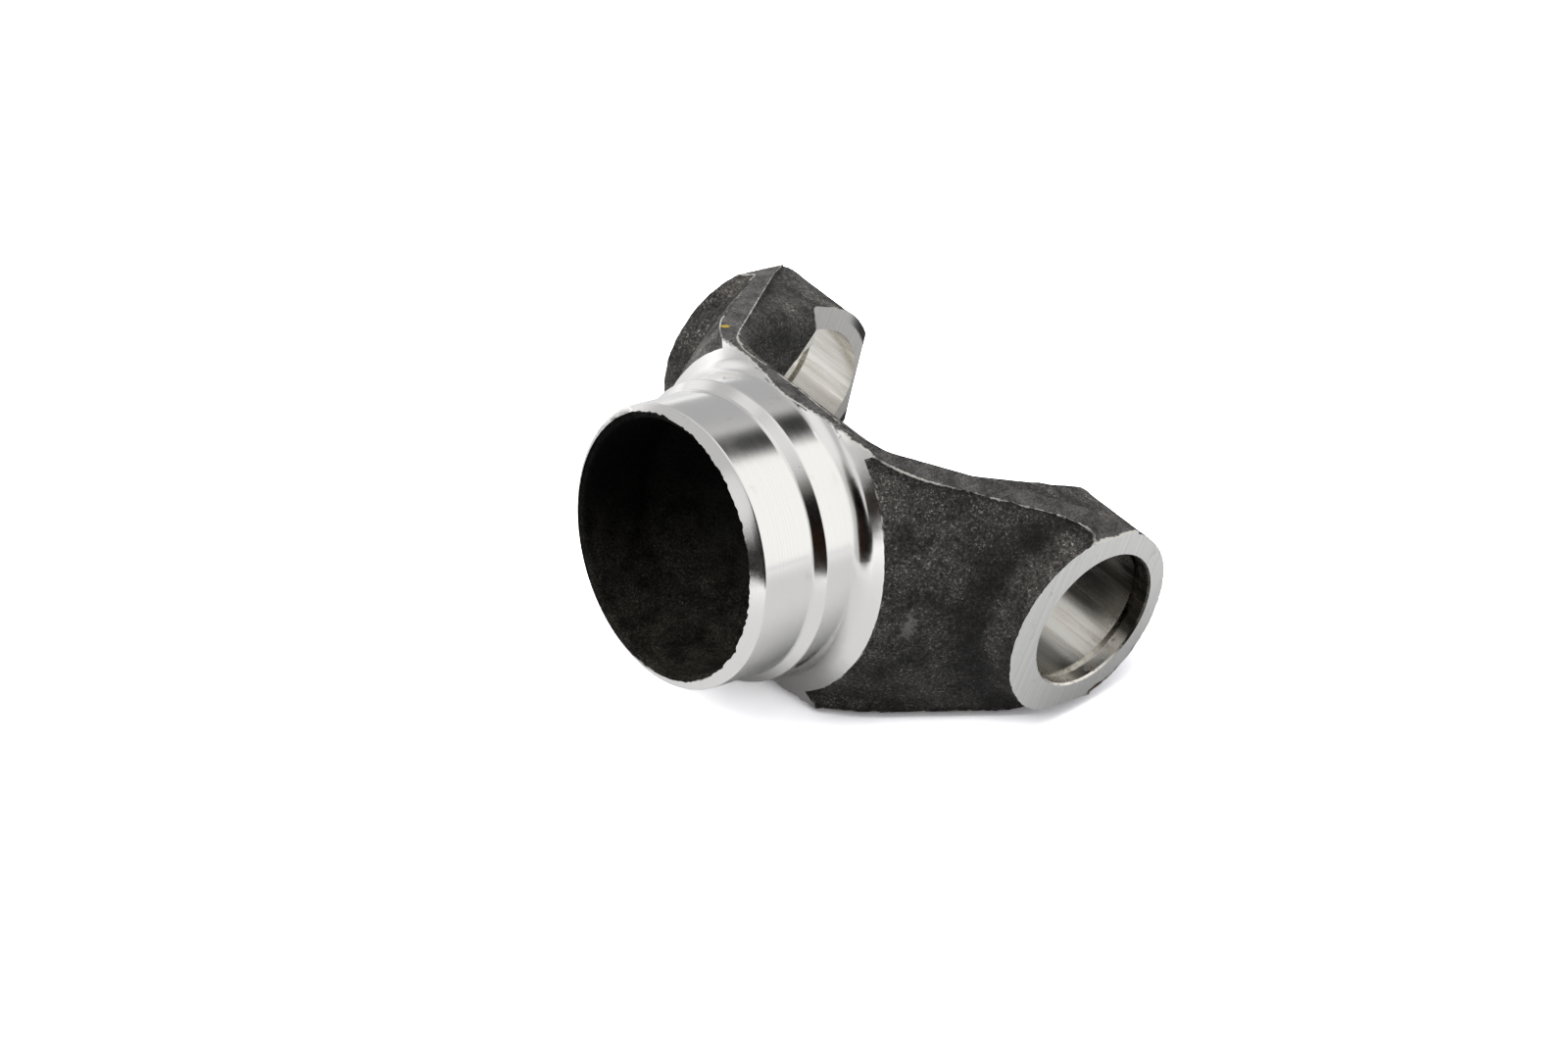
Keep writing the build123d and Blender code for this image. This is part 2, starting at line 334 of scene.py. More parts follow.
def fray_cut_edges(skin, finish):
    """Uneven chips where a machined surface cuts the forged skin, sunk along that surface."""
    for corner in skin.verts:
        finishes = {face[finish] for face in corner.link_faces}
        if not is_cut(finishes):
            continue
        bearing, across, tube = in_yoke_axes(corner.co)
        from_tube_axis = math.hypot(bearing, across)
        outward = (YOKE_AXES @ Vector((bearing, across, 0.0))).normalized()
        fine = turbulence(corner.co / (FINE_CHIPS * MM), CHIP_OCTAVES, False)
        broad = turbulence(corner.co / (BROAD_CHIPS * MM), CHIP_OCTAVES, False)
        chip = max(LEAST_CHIP + fine + BROAD_SHARE * broad, 0.0)
        on_ear_face = abs(abs(bearing) - EAR_FACE) < ON_PLANE
        if finishes == {TURNED, POCKET}:
            # The pocket was forged a little off the axis of the turned mouth
            to_thin_side = bearing * THIN_RIM_SIDE[0] + across * THIN_RIM_SIDE[1]
            shift = RIM_SHIFT * max(1.0 + to_thin_side / MOUTH_RADIUS, 0.0)
            sink = outward - TUBE_AXIS * LEAD_IN_LENGTH / LEAD_IN_DEPTH
            corner.co += sink * (RIM_CHIP * chip + shift) * MM
        elif TURNED in finishes:
            slide = TUBE_AXIS * FLARE_FALL - outward
            if from_tube_axis < FLARE_EDGE:
                rise = (SHOULDER_RADIUS + FLARE_FILLET - from_tube_axis) / FLARE_FILLET
                slide = TUBE_AXIS * rise + outward * min((tube - FLARE_TOP) / FLARE_FILLET, 0.0)
            corner.co += slide * (BAND_CHIP if TRIMMED in finishes else FLARE_CHIP) * chip * MM
        elif MILLED in finishes and TRIMMED not in finishes and on_ear_face:
            from_bearing = (YOKE_AXES @ Vector((0.0, across, tube))).normalized()
            corner.co -= from_bearing * EAR_CHIP * chip * MM


def split_edges(skin, finish, longest, is_chosen):
    """Halves the chosen edges, one in a facet at a time, until none is too long."""
    while True:
        skin.edges.index_update()
        ranks = {}
        for edge in skin.edges:
            length = edge.calc_length()
            if length > longest and is_chosen([face[finish] for face in edge.link_faces]):
                ranks[edge] = (length, edge.index)
        if not ranks:
            break
        firsts = [
            edge
            for edge, rank in ranks.items()
            if all(
                ranks.get(other, rank) <= rank for face in edge.link_faces for other in face.edges
            )
        ]
        bmesh.ops.subdivide_edges(skin, edges=firsts, cuts=1, use_single_edge=True)


def put_in_order(skin):
    """Sorts corners, edges and facets by their places, so that every run gives the same mesh."""

    def by_corners(part):
        return sorted(corner.index for corner in part.verts)

    for parts, key in (
        (skin.verts, lambda corner: tuple(corner.co)),
        (skin.edges, by_corners),
        (skin.faces, by_corners),
    ):
        for index, part in enumerate(sorted(parts, key=key)):
            part.index = index
        parts.sort()


def is_worn_smooth(edge, finish):
    """Whether a trimmed edge lies on the inner side of the near arm, where no bare metal shows."""
    bearing = in_yoke_axes(edge.verts[0].co).x
    facing = sum((face.normal for face in edge.link_faces if face[finish] != TRIMMED), Vector())
    return bearing > WORN_REACH and (YOKE_AXES.transposed() @ facing).x < 0.0


def distances_to(points, skin, farthest):
    """How far every corner of the skin is from the nearest of the points, in millimetres."""
    tree = KDTree(len(points))
    for index, point in enumerate(points):
        tree.insert(point, index)
    tree.balance()
    return [min(tree.find(corner.co)[2] / MM, farthest) for corner in skin.verts]


def cut_yoke_skin(node):
    """A merged copy of the yoke, fine enough on its forged skin for scale and chipped edges."""
    skin = bmesh.new()
    skin.from_mesh(node.data)
    bmesh.ops.remove_doubles(skin, verts=skin.verts, dist=SAME_CORNER * MM)
    finish = skin.faces.layers.int.new("finish")
    for face in skin.faces:
        face[finish] = finish_of(face)
    round_turned_edges(skin, finish, ROOT_FILLET * MM, CORNER_ROUND * MM)
    split_edges(skin, finish, CUT_EDGE_LENGTH * MM, is_cut)
    split_edges(skin, finish, SKIN_EDGE_LENGTH * MM, is_rough)
    fray_cut_edges(skin, finish)
    put_in_order(skin)

    trim_points = []
    cut_points = []
    for edge in skin.edges:
        sides = [face[finish] for face in edge.link_faces]
        edge.smooth = sides == [POCKET, POCKET] or edge.calc_face_angle(0.0) < SHARP_BEND
        if is_cut(sides):
            edge.smooth = False
            cut_points.extend((edge.verts[0].co.copy(), edge.verts[1].co.copy()))
        elif TRIMMED in sides and not edge.smooth and not is_worn_smooth(edge, finish):
            trim_points.extend((edge.verts[0].co.copy(), edge.verts[1].co.copy()))
    for face in skin.faces:
        face.smooth = True
    trim_distances = distances_to(trim_points, skin, FAR_FROM_EDGE)
    cut_distances = distances_to(cut_points, skin, FAR_FROM_EDGE)
    machined = [
        any(face[finish] not in ROUGH_FINISHES for face in corner.link_faces)
        for corner in skin.verts
    ]

    mesh = bpy.data.meshes.new("yoke_skin")
    skin.to_mesh(mesh)
    skin.free()
    if "custom_normal" in mesh.attributes:
        mesh.attributes.remove(mesh.attributes["custom_normal"])
    skin_share = [
        0.0 if is_machined else min(max(cut - STILL_STRIP, 0.0) / SINKING_STRIP, 1.0)
        for is_machined, cut in zip(machined, cut_distances)
    ]
    for name, values in (
        ("trim_distance", trim_distances),
        ("cut_distance", cut_distances),
        ("skin_share", skin_share),
    ):
        attribute = mesh.attributes.new(name, "FLOAT", "POINT")
        attribute.data.foreach_set("value", np.array(values, np.float32))
    return mesh


def feed(tree, socket, value):
    """Sets an input, or links it where the value comes from another node."""
    if isinstance(value, bpy.types.NodeSocket):
        tree.links.new(value, socket)
    else:
        socket.default_value = value


def feed_all(tree, node, inputs):
    """Sets or links several inputs of a node by their names or numbers."""
    for name, value in inputs.items():
        feed(tree, node.inputs[name], value)


def place(tree, kind, inputs=None, **settings):
    """A node with its settings, and its inputs either set or linked."""
    node = tree.nodes.new(kind)
    for name, value in settings.items():
        setattr(node, name, value)
    feed_all(tree, node, inputs or {})
    return node


def noise(tree, spot, scale, detail, roughness=0.5):
    """A cloudy pattern, finer with a larger scale and crisper with more detail."""
    inputs = {"Vector": spot, "Scale": scale, "Detail": detail, "Roughness": roughness}
    return place(tree, "ShaderNodeTexNoise", inputs).outputs["Fac"]


def line_noise(tree, position, scale, roughness=0.5):
    """A pattern that changes along one coordinate only."""
    inputs = {"W": position, "Scale": scale, "Detail": 2.0, "Roughness": roughness}
    return place(tree, "ShaderNodeTexNoise", inputs, noise_dimensions="1D").outputs["Fac"]


def reckon_vector(tree, operation, inputs, output="Vector"):
    """The result of one vector math node."""
    return place(tree, "ShaderNodeVectorMath", inputs, operation=operation).outputs[output]


def reckon(tree, operation, first, second=0.0, clamp=False):
    """The result of one math node."""
    return place(
        tree, "ShaderNodeMath", {0: first, 1: second}, operation=operation, use_clamp=clamp
    ).outputs[0]


def weigh(tree, first, first_weight, second, second_weight):
    """The sum of two values, each times its weight."""
    return reckon(
        tree,
        "ADD",
        reckon(tree, "MULTIPLY", first, first_weight),
        reckon(tree, "MULTIPLY", second, second_weight),
    )


def between(tree, value, low, high, out_low=0.0, out_high=1.0):
    """A value carried smoothly from one range into another."""
    inputs = {
        "Value": value, "From Min": low, "From Max": high, "To Min": out_low, "To Max": out_high
    }
    return place(
        tree, "ShaderNodeMapRange", inputs, interpolation_type="SMOOTHSTEP"
    ).outputs["Result"]


def blend(tree, share, first, second, blend_type="MIX"):
    """One colour laid over another by a share."""
    node = place(tree, "ShaderNodeMix", data_type="RGBA", blend_type=blend_type)
    for index, value in ((0, share), (6, first), (7, second)):
        feed(tree, node.inputs[index], value)
    return node.outputs[2]


def new_group(name, inputs, outputs):
    """An empty shader node group with named sockets, and its two ends."""
    group = bpy.data.node_groups.new(name, "ShaderNodeTree")
    for socket_name, socket_type, value in inputs:
        socket = group.interface.new_socket(socket_name, in_out="INPUT", socket_type=socket_type)
        if value is not None:
            socket.default_value = value
    for socket_name, socket_type in outputs:
        group.interface.new_socket(socket_name, in_out="OUTPUT", socket_type=socket_type)
    return group, group.nodes.new("NodeGroupInput"), group.nodes.new("NodeGroupOutput")


def use_group(tree, group, inputs=None):
    """A placed shader node group with its inputs set or linked."""
    return place(tree, "ShaderNodeGroup", inputs, node_tree=group)


def make_yoke_position_group():
    """Where a point of the surface lies along the yoke's own axes, in millimetres."""
    group, _, ends = new_group(
        "yoke_position",
        [],
        [
            ("Along bearings", "NodeSocketFloat"),
            ("Across", "NodeSocketFloat"),
            ("Along tube", "NodeSocketFloat"),
            ("From tube axis", "NodeSocketFloat"),
            ("From bearing axis", "NodeSocketFloat"),
            ("Place", "NodeSocketVector"),
        ],
    )
    spot = place(group, "ShaderNodeTexCoord").outputs["Object"]
    into_yoke = {
        "Vector": spot,
        "Location": JOINT_CENTRE,
        "Rotation": (LYING_TURN, 0.0, 0.0),
        "Scale": (MM, MM, MM),
    }
    turned = place(group, "ShaderNodeMapping", into_yoke, vector_type="TEXTURE")
    axes = place(group, "ShaderNodeSeparateXYZ", {"Vector": turned.outputs["Vector"]})
    bearing_square = reckon(group, "MULTIPLY", axes.outputs["X"], axes.outputs["X"])
    across_square = reckon(group, "MULTIPLY", axes.outputs["Y"], axes.outputs["Y"])
    tube_square = reckon(group, "MULTIPLY", axes.outputs["Z"], axes.outputs["Z"])
    from_tube = reckon(group, "SQRT", reckon(group, "ADD", bearing_square, across_square))
    from_bearing = reckon(group, "SQRT", reckon(group, "ADD", across_square, tube_square))
    outcomes = {
        "Along bearings": axes.outputs["X"],
        "Across": axes.outputs["Y"],
        "Along tube": axes.outputs["Z"],
        "From tube axis": from_tube,
        "From bearing axis": from_bearing,
        "Place": turned.outputs["Vector"],
    }
    feed_all(group, ends, outcomes)
    return group


def make_forge_grain_group():
    """Fine speckle of forging scale: its tone, its bright flecks and its height."""
    group, start, ends = new_group(
        "forge_grain",
        [("Place", "NodeSocketVector", None), ("Grain size", "NodeSocketFloat", 0.5)],
        [("Tone", "NodeSocketFloat"), ("Flecks", "NodeSocketFloat"), ("Height", "NodeSocketFloat")],
    )
    spot = start.outputs["Place"]
    fine = reckon(group, "DIVIDE", 1.0, start.outputs["Grain size"])
    grains = noise(group, spot, fine, detail=4.0, roughness=0.75)
    clumps = noise(group, spot, reckon(group, "MULTIPLY", fine, 0.13), detail=4.0, roughness=0.6)
    sparks = noise(group, spot, reckon(group, "MULTIPLY", fine, 1.5), detail=4.0, roughness=0.95)
    tone = weigh(group, grains, 0.65, clumps, 0.35)
    dense = between(group, clumps, 0.34, 0.64, 0.2, 1.0)
    flecks = reckon(group, "MULTIPLY", between(group, sparks, 0.55, 0.63), dense)
    height = reckon(group, "ADD", tone, reckon(group, "MULTIPLY", sparks, 0.5))
    tone_share = between(group, tone, 0.36, 0.64)
    feed_all(group, ends, {"Tone": tone_share, "Flecks": flecks, "Height": height})
    return group


def make_bare_edge_group():
    """Ragged bare metal that follows an edge, told by the distance to it."""
    group, start, ends = new_group(
        "bare_edge",
        [
            ("Place", "NodeSocketVector", None),
            ("Distance", "NodeSocketFloat", 8.0),
            ("Width", "NodeSocketFloat", 0.4),
            ("Cover", "NodeSocketFloat", 0.5),
        ],
        [("Mask", "NodeSocketFloat")],
    )
    ragged = noise(group, start.outputs["Place"], 0.9, detail=4.0, roughness=0.7)
    broken = noise(group, start.outputs["Place"], 0.16, detail=2.0)
    swing = reckon(group, "MULTIPLY", reckon(group, "SUBTRACT", ragged, 0.2), 2.0)
    width = reckon(group, "MAXIMUM", reckon(group, "MULTIPLY", start.outputs["Width"], swing), 0.01)
    near = between(group, reckon(group, "DIVIDE", start.outputs["Distance"], width), 1.0, 0.55)
    kept = between(group, reckon(group, "ADD", broken, start.outputs["Cover"]), 0.92, 1.08)
    feed_all(group, ends, {"Mask": reckon(group, "MULTIPLY", near, kept)})
    return group


def make_tool_lines_group():
    """Fine lines that a cutting tool leaves, at places given by one coordinate."""
    group, start, ends = new_group(
        "tool_lines",
        [("Position", "NodeSocketFloat", 0.0), ("Pitch", "NodeSocketFloat", 0.2)],
        [("Tone", "NodeSocketFloat"), ("Height", "NodeSocketFloat")],
    )
    steps = reckon(group, "DIVIDE", start.outputs["Position"], start.outputs["Pitch"])
    fine = line_noise(group, steps, 1.0, roughness=0.6)
    bands = line_noise(group, steps, 0.13)
    height = reckon(group, "ADD", fine, reckon(group, "MULTIPLY", bands, 0.5))
    feed_all(group, ends, {"Tone": between(group, fine, 0.25, 0.75), "Height": height})
    return group


def make_rust_stain_group():
    """Patches of thin brown rust on machined steel."""
    group, start, ends = new_group(
        "rust_stain",
        [
            ("Place", "NodeSocketVector", None),
            ("Cover", "NodeSocketFloat", 0.3),
            ("Patch size", "NodeSocketFloat", 3.0),
        ],
        [("Mask", "NodeSocketFloat"), ("Colour", "NodeSocketColor")],
    )
    spot = start.outputs["Place"]
    scale = reckon(group, "DIVIDE", 1.0, start.outputs["Patch size"])
    patches = noise(group, spot, scale, detail=6.0, roughness=0.68)
    limit = reckon(group, "SUBTRACT", 0.78, reckon(group, "MULTIPLY", start.outputs["Cover"], 0.5))
    mask = between(group, reckon(group, "SUBTRACT", patches, limit), 0.0, 0.14)
    colour = blend(group, noise(group, spot, 1.4, detail=3.0), RUST_DARK, RUST_PALE)
    feed_all(group, ends, {"Mask": mask, "Colour": colour})
    return group


def make_stray_mark_group():
    """One ragged mark round a place of the skin, fading out at the given reaches in millimetres."""
    group, start, ends = new_group(
        "stray_mark",
        [
            ("Place", "NodeSocketVector", None),
            ("Centre", "NodeSocketVector", None),
            ("Reaches", "NodeSocketVector", (1.0, 1.0, 1.0)),
        ],
        [("Mask", "NodeSocketFloat")],
    )
    spot = start.outputs["Place"]
    offset = reckon_vector(group, "SUBTRACT", {0: spot, 1: start.outputs["Centre"]})
    shares = reckon_vector(group, "DIVIDE", {0: offset, 1: start.outputs["Reaches"]})
    away = reckon_vector(group, "LENGTH", {0: shares}, "Value")
    ragged = noise(group, spot, 0.8, detail=4.0, roughness=0.75)
    frayed = reckon(group, "ADD", away, reckon(group, "MULTIPLY", ragged, 2.6))
    feed_all(group, ends, {"Mask": between(group, frayed, 2.1, 1.6)})
    return group


yoke_position = make_yoke_position_group()
forge_grain = make_forge_grain_group()
bare_edge = make_bare_edge_group()
tool_lines = make_tool_lines_group()
rust_stain = make_rust_stain_group()
stray_mark = make_stray_mark_group()


def new_finish(name):
    """A material with its tree emptied but for a shader and an output."""
    material = bpy.data.materials.new(name)
    material.use_nodes = True
    tree = material.node_tree
    tree.nodes.clear()
    shader = place(tree, "ShaderNodeBsdfPrincipled")
    output = place(tree, "ShaderNodeOutputMaterial")
    tree.links.new(shader.outputs["BSDF"], output.inputs["Surface"])
    return material, tree, shader


def distance_attribute(tree, name):
    """A distance in millimetres that the skin carries."""
    return place(tree, "ShaderNodeAttribute", attribute_name=name).outputs["Fac"]


def bump(tree, height, depth):
    """A surface relief of about the given depth in millimetres."""
    inputs = {"Height": height, "Distance": depth * MM}
    return place(tree, "ShaderNodeBump", inputs).outputs["Normal"]


def bare_line(tree, spot, measured, width, cover):
    """Bare metal along the edges that a carried distance is measured from."""
    distance = distance_attribute(tree, measured)
    inputs = {"Place": spot, "Distance": distance, "Width": width, "Cover": cover}
    return use_group(tree, bare_edge, inputs).outputs["Mask"]


def mark(tree, spot, extent):
    """One stray mark, told by its centre and reaches."""
    return use_group(tree, stray_mark, {"Place": spot, **extent}).outputs["Mask"]


def make_forged_scale():
    """Dark forging scale, speckled, with bare metal where edges were struck."""
    material, tree, shader = new_finish("forged_scale")
    position = use_group(tree, yoke_position)
    spot = position.outputs["Place"]
    from_bearing = position.outputs["From bearing axis"]
    reach = reckon(tree, "ABSOLUTE", position.outputs["Along bearings"])
    grain = use_group(tree, forge_grain, {"Place": spot, "Grain size": 0.8})
    clouds = noise(tree, spot, 0.07, detail=4.0, roughness=0.6)
    dark = blend(tree, grain.outputs["Tone"], SCALE_BLACK, SCALE_GREY)
    clouded = blend(tree, between(tree, clouds, 0.3, 0.7), CLOUD_DIM, CLOUD_BRIGHT)
    tinted = blend(tree, 1.0, dark, clouded, "MULTIPLY")
    flecked = blend(tree, grain.outputs["Flecks"], tinted, SCALE_FLECK)
    rubbed = reckon(tree, "MULTIPLY", mark(tree, spot, RUBBED_MARK), 0.75)
    marked = blend(tree, rubbed, flecked, RUBBED_GREY)

    # Painted shade: the skin is darkened just under the trimmed flash on the mouth side and in the
    # crease round the foot of the near ear's boss; the pit is a real dark mark
    facing = place(tree, "ShaderNodeNewGeometry").outputs["Normal"]
    towards_mouth = reckon_vector(tree, "DOT_PRODUCT", {0: facing, 1: TUBE_AXIS}, "Value")
    outer_side = between(tree, towards_mouth, 0.0, 0.3)
    trim_distance = distance_attribute(tree, "trim_distance")
    shade_under_trim = between(tree, trim_distance, *TRIM_SHADE_SPAN, 0.7, 0.0)
    shade_at_boss_foot = reckon(
        tree,
        "MULTIPLY",
        between(tree, from_bearing, *BOSS_FOOT),
        between(tree, from_bearing, *BOSS_FOOT_FADE, 0.0, 0.72),
    )
    painted_shade = reckon(
        tree,
        "MAXIMUM",
        reckon(tree, "MULTIPLY", shade_under_trim, outer_side),
        reckon(tree, "MULTIPLY", shade_at_boss_foot, between(tree, reach, *BOSS_REACH)),
    )
    pitted = reckon(tree, "MULTIPLY", mark(tree, spot, PIT), 0.8)
    shaded_and_pitted = blend(tree, reckon(tree, "MAXIMUM", painted_shade, pitted), marked, SHADE_AND_PIT_BLACK)

    bare = bare_line(tree, spot, "trim_distance", **TRIM_LINE)
    struck = bare_line(tree, spot, "cut_distance", width=0.6, cover=0.4)
    shown = reckon(tree, "MAXIMUM", bare, struck)
    inputs = {
        "Base Color": blend(tree, shown, shaded_and_pitted, STRUCK_STEEL),
        "Roughness": between(tree, grain.outputs["Tone"], 0.0, 1.0, 0.75, 0.5),
        "Specular IOR Level": 0.35,
        "Metallic": reckon(tree, "MULTIPLY", shown, 0.8),
        "Normal": bump(tree, grain.outputs["Height"], 0.3),
    }
    feed_all(tree, shader, inputs)
    return material


def make_trimmed_flash():
    """Sheared band of the trimmed flash, greyer than the scale, with bright ragged edges."""
    material, tree, shader = new_finish("trimmed_flash")
    position = use_group(tree, yoke_position)
    spot = position.outputs["Place"]
    along_bearings = position.outputs["Along bearings"]
    grain = use_group(tree, forge_grain, {"Place": spot, "Grain size": 0.5})
    shear = use_group(tree, tool_lines, {"Position": along_bearings, "Pitch": 0.5})
    tone = weigh(tree, grain.outputs["Tone"], 0.8, shear.outputs["Tone"], 0.2)
    grey = blend(tree, tone, SHEARED_BLACK, SHEARED_GREY)
    flecked = blend(tree, grain.outputs["Flecks"], grey, SHEARED_FLECK)
    dabbed = reckon(tree, "MULTIPLY", mark(tree, spot, PAINT_DAB), 0.85)
    painted = blend(tree, dabbed, flecked, YELLOW_PAINT)
    bare = bare_line(tree, spot, "trim_distance", **TRIM_LINE)
    torn = bare_line(tree, spot, "cut_distance", width=1.3, cover=0.6)
    shown = reckon(tree, "MAXIMUM", bare, torn)
    shear_height = reckon(tree, "MULTIPLY", shear.outputs["Height"], 0.5)
    relief = reckon(tree, "ADD", grain.outputs["Height"], shear_height)
    inputs = {
        "Base Color": blend(tree, shown, painted, TORN_STEEL),
        "Roughness": between(tree, tone, 0.0, 1.0, 0.7, 0.48),
        "Specular IOR Level": 0.35,
        "Metallic": reckon(tree, "MULTIPLY", shown, 0.8),
        "Normal": bump(tree, relief, 0.14),
    }
    feed_all(tree, shader, inputs)
    return material


def make_turned_steel():
    """Bright lathe-turned steel with fine rings round the tube axis and light handling marks."""
    material, tree, shader = new_finish("turned_steel")
    position = use_group(tree, yoke_position)
    spot = position.outputs["Place"]
    along_profile = reckon(
        tree, "SUBTRACT", position.outputs["Along tube"], position.outputs["From tube axis"]
    )
    rings = use_group(tree, tool_lines, {"Position": along_profile, "Pitch": 0.16})
    smears = noise(tree, spot, 0.12, detail=5.0, roughness=0.6)
    dents = noise(tree, spot, 0.4, detail=4.0, roughness=0.6)
    bright = blend(tree, rings.outputs["Tone"], TURNED_DULL, TURNED_BRIGHT)
    smeared = blend(tree, between(tree, smears, 0.62, 0.8), bright, OIL_SMEAR)
    bruised = blend(tree, between(tree, dents, 0.72, 0.76), smeared, BRUISE)
    rust = use_group(tree, rust_stain, {"Place": spot, "Cover": 0.16, "Patch size": 2.2})
    thin_rust = reckon(tree, "MULTIPLY", rust.outputs["Mask"], 0.5)
    polish = between(tree, smears, 0.3, 0.75, 0.11, 0.2)
    dent_depth = between(tree, dents, 0.70, 0.76, 0.0, 8.0)
    relief = reckon(tree, "SUBTRACT", rings.outputs["Height"], dent_depth)
    inputs = {
        "Base Color": blend(tree, thin_rust, bruised, rust.outputs["Colour"]),
        "Roughness": reckon(
            tree, "ADD", polish, reckon(tree, "MULTIPLY", rust.outputs["Mask"], 0.2)
        ),
        "Metallic": 1.0,
        "Normal": bump(tree, relief, 0.004),
    }
    feed_all(tree, shader, inputs)
    return material


def make_milled_ear():
    """Flat milled steel of the ear faces and the relief inside them, with straight tool lines."""
    material, tree, shader = new_finish("milled_ear")
    position = use_group(tree, yoke_position)
    spot = position.outputs["Place"]
    across = position.outputs["Across"]
    along_tube = position.outputs["Along tube"]
    from_bearing = position.outputs["From bearing axis"]
    reach = reckon(tree, "ABSOLUTE", position.outputs["Along bearings"])
    slanted = weigh(tree, along_tube, 1.0, across, 0.18)
    lines = use_group(tree, tool_lines, {"Position": slanted, "Pitch": 0.3})
    passes = use_group(tree, tool_lines, {"Position": slanted, "Pitch": 1.1})
    wear = noise(tree, spot, 0.3, detail=5.0, roughness=0.65)
    tone = weigh(tree, lines.outputs["Tone"], 0.6, passes.outputs["Tone"], 0.4)
    grey = blend(tree, tone, MILLED_DULL, MILLED_BRIGHT)
    greyer = blend(tree, between(tree, reach, *INNER_EAR_SIDE, 0.0, 0.5), grey, RELIEF_GREY)
    worn = blend(tree, between(tree, wear, 0.6, 0.82), greyer, MILLED_WORN)

    below_tip = weigh(tree, along_tube, -0.75, across, -0.66)
    rusty_rim = reckon(
        tree,
        "MULTIPLY",
        between(tree, from_bearing, *RUSTY_RIM, 0.1, 0.85),
        between(tree, below_tip, *RUSTY_SIDE),
    )
    rust = use_group(tree, rust_stain, {"Place": spot, "Cover": rusty_rim, "Patch size": 2.0})
    rusted = blend(tree, rust.outputs["Mask"], worn, rust.outputs["Colour"])
    past_ring = reckon(
        tree,
        "MULTIPLY",
        between(tree, along_tube, *EAR_SKIN_HEIGHT),
        between(tree, from_bearing, *EAR_SKIN_RIM),
    )
    skinned = reckon(tree, "MULTIPLY", past_ring, between(tree, reach, *INNER_EAR_SIDE))
    covered = reckon(tree, "MAXIMUM", rust.outputs["Mask"], skinned)
    dull = between(tree, tone, 0.0, 1.0, 0.42, 0.32)
    inputs = {
        "Base Color": blend(tree, skinned, rusted, EAR_SKIN),
        "Roughness": reckon(tree, "ADD", dull, reckon(tree, "MULTIPLY", covered, 0.25)),
        "Metallic": between(tree, covered, 0.0, 1.0, 1.0, 0.1),
        "Normal": bump(tree, lines.outputs["Height"], 0.004),
    }
    feed_all(tree, shader, inputs)
    return material


def make_bored_wall():
    """Bored wall of the bearing seats, streaked along the bore, stained beside the groove and
    painted with dark reflections.
    """
    material, tree, shader = new_finish("bored_wall")
    position = use_group(tree, yoke_position)
    spot = position.outputs["Place"]
    along_bearings = position.outputs["Along bearings"]
    reach = reckon(tree, "ABSOLUTE", along_bearings)
    near_ear = between(tree, along_bearings, *NEAR_EAR)
    drawn = place(tree, "ShaderNodeMapping", {"Vector": spot, "Scale": (0.05, 1.0, 1.0)})
    streaks = noise(tree, drawn.outputs["Vector"], 0.7, detail=4.0, roughness=0.6)
    rings = use_group(tree, tool_lines, {"Position": along_bearings, "Pitch": 0.2})
    warm = blend(tree, between(tree, streaks, 0.3, 0.7), BORED_DULL, BORED_BRIGHT)

    # Painted dark reflections on the near bore: towards the ear's tip, where some real
    # discoloration is mixed in, and at the foot of the bearing seat
    towards_tip = weigh(tree, position.outputs["Across"], 0.7, position.outputs["Along tube"], -0.7)
    outer_land = between(tree, reach, *OUTER_LAND, 0.0, 6.0)
    reflection_and_stain_at_tip = reckon(
        tree,
        "ADD",
        between(tree, reckon(tree, "ADD", towards_tip, outer_land), *REFLECTION_AND_STAIN_TIP, 0.0, 0.95),
        between(tree, streaks, 0.3, 0.7, -0.1, 0.1),
    )
    dark_reflection_at_foot = reckon(
        tree,
        "MULTIPLY",
        between(tree, towards_tip, *DARK_REFLECTION_FOOT, 0.0, 0.8),
        between(tree, reach, *BEARING_SEAT),
    )
    darkened = reckon(tree, "MULTIPLY", reckon(tree, "MAXIMUM", reflection_and_stain_at_tip, dark_reflection_at_foot), near_ear, clamp=True)
    reflection_darkened = blend(tree, darkened, warm, REFLECTION_AND_STAIN_BROWN)
    cover = reckon(tree, "MULTIPLY", between(tree, reach, *GROOVE_RUST, 0.1, 0.46), near_ear)
    rust = use_group(tree, rust_stain, {"Place": spot, "Cover": cover, "Patch size": 3.0})
    thin_rust = reckon(tree, "MULTIPLY", rust.outputs["Mask"], 0.85)
    dull = between(tree, streaks, 0.3, 0.7, 0.3, 0.18)
    relief = reckon(tree, "ADD", rings.outputs["Height"], streaks)
    inputs = {
        "Base Color": blend(tree, thin_rust, reflection_darkened, rust.outputs["Colour"]),
        "Roughness": reckon(
            tree, "ADD", dull, reckon(tree, "MULTIPLY", rust.outputs["Mask"], 0.3)
        ),
        "Metallic": between(tree, rust.outputs["Mask"], 0.0, 1.0, 1.0, 0.3),
        "Normal": bump(tree, relief, 0.003),
    }
    feed_all(tree, shader, inputs)
    return material


